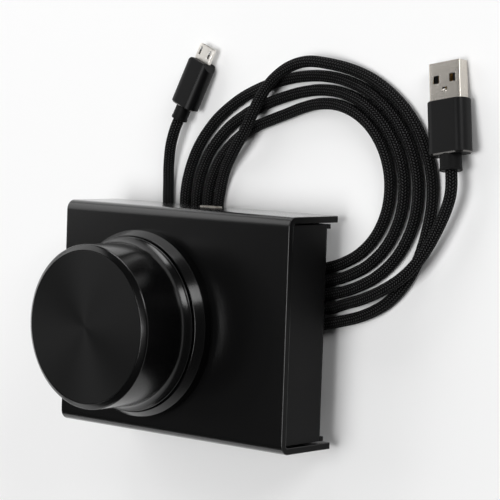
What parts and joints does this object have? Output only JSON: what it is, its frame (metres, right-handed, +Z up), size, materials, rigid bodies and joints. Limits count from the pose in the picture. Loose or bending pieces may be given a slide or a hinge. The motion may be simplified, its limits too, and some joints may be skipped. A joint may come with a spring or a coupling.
{
  "type": "usb volume knob",
  "caption": "Desktop USB volume control: a press-and-turn knob in a bevelled ring on a bent-sheet case, with a coiled braided micro-USB to USB-A cable.",
  "frame": {"origin": "on the desk under the middle of the case", "axes": "+Z up along the knob axis, +X along the case's long side, +Y towards the rear flange with the port"},
  "size_m": [0.1513, 0.1311, 0.0568],
  "materials": {
    "cover_black": "satin black anodised",
    "pan_black": "matte black",
    "foot_rubber": "matte",
    "screw_steel": "satin",
    "knob_black": "satin black anodised",
    "disc_black": "spun black, fine circular grain",
    "bezel_black": "satin black anodised",
    "nickel": "satin nickel plate",
    "brass": "satin",
    "board_green": "solder mask",
    "black_plastic": "matte",
    "white_plastic": "matte",
    "chip_ceramic": "matte",
    "cable_braid": "black braided sleeve",
    "plug_black": "satin black with a bright rear bevel",
    "collar_black": "matte"
  },
  "bodies": {
    "case": {"top_cover": "cover_black", "base_pan": "pan_black", "cover_standoffs": "screw_steel", "foot_front_left": "foot_rubber", "foot_front_right": "foot_rubber", "foot_rear_left": "foot_rubber", "foot_rear_right": "foot_rubber", "foot_screws": "screw_steel", "bezel_ring": "bezel_black", "lock_washer": "screw_steel", "encoder_nut": "nickel", "encoder_bushing": "nickel", "encoder_housing": "black_plastic", "encoder_terminals": "nickel", "encoder_board": "board_green", "board_header": "black_plastic", "main_board": "board_green", "board_posts": "brass", "board_screws": "screw_steel", "port_shell": "nickel", "port_tongue": "black_plastic", "controller_chip": "black_plastic", "crystal_can": "nickel", "chip_capacitors": "chip_ceramic", "cable_coil": "cable_braid", "micro_lead": "cable_braid", "usb_lead": "cable_braid", "micro_plug_housing": "plug_black", "micro_plug_collar": "collar_black", "micro_plug_shell": "nickel", "micro_plug_latches": "screw_steel", "usb_plug_housing": "plug_black", "usb_plug_collar": "collar_black", "usb_plug_shell": "nickel", "usb_plug_tongue": "black_plastic", "usb_plug_contacts": "brass"},
    "plunger": {"push_plunger": "white_plastic"},
    "knob": {"encoder_shaft": "nickel", "knob_shell": "knob_black", "knob_disc": "disc_black", "knob_hub": "black_plastic", "knob_bush": "brass", "grub_screw": "screw_steel"}
  },
  "joints": [
    {"name": "press", "type": "slide", "parent": "case", "child": "plunger", "axis": [0, 0, -1], "range_m": [0, 0.0005], "stiffness_N_per_m": 5000, "springref_m": -0.0003},
    {"name": "turn", "type": "hinge", "parent": "plunger", "child": "knob", "pos_m": [-0.0122, -0.0011, 0.045], "axis": [0, 0, 1], "continuous": true}
  ]
}
